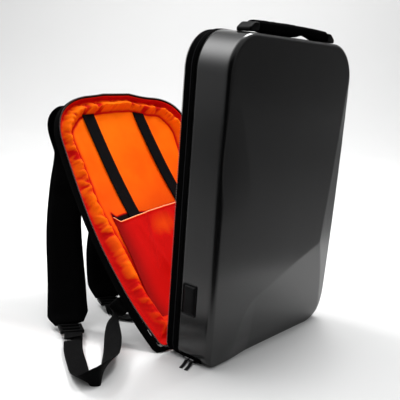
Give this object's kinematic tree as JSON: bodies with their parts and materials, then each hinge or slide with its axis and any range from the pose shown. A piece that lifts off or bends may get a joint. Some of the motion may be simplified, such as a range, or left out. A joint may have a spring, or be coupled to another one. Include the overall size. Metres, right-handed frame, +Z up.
{
  "type": "barber backpack",
  "caption": "Hard-shell backpack standing on its base with its padded back flap unzipped and leaning open, showing a bright lining with a pocket and elastic straps.",
  "frame": {"origin": "on the floor under the middle of the shell's flat base", "axes": "+Z up, -Y towards the shell's closed front, +X to the right as seen from the front"},
  "size_m": [0.5051, 0.431, 0.4835],
  "materials": {
    "shell": "satin moulded dark grey",
    "trim": "matte black moulding",
    "fabric": "woven black cloth",
    "webbing": "ribbed black webbing",
    "lining": "smooth orange lining cloth",
    "teeth": "moulded zip coil",
    "metal": "black lacquered zip parts"
  },
  "bodies": {
    "root": {"shell": "shell", "port_cover": "trim", "shell_binding": "fabric", "zip_tape_shell": "fabric", "zip_teeth_shell": "teeth", "zip_tail": "fabric", "zip_slider_1": "metal", "zip_slider_2": "metal", "zip_pull_1": "metal", "zip_pull_2": "metal", "handle_grip": "fabric", "handle_end_left": "trim", "handle_end_right": "trim", "hinge": "fabric", "flap_back": "fabric", "zip_tape_flap": "fabric", "zip_teeth_flap": "teeth", "flap_lining": "lining", "pocket": "lining", "elastic_left": "webbing", "elastic_right": "webbing", "shoulder_strap_left": "fabric", "shoulder_strap_right": "fabric", "buckle_left": "trim", "buckle_right": "trim", "webbing_left": "webbing", "webbing_right": "webbing", "anchor_left": "webbing", "anchor_right": "webbing", "chest_strap": "webbing"}
  },
  "joints": []
}
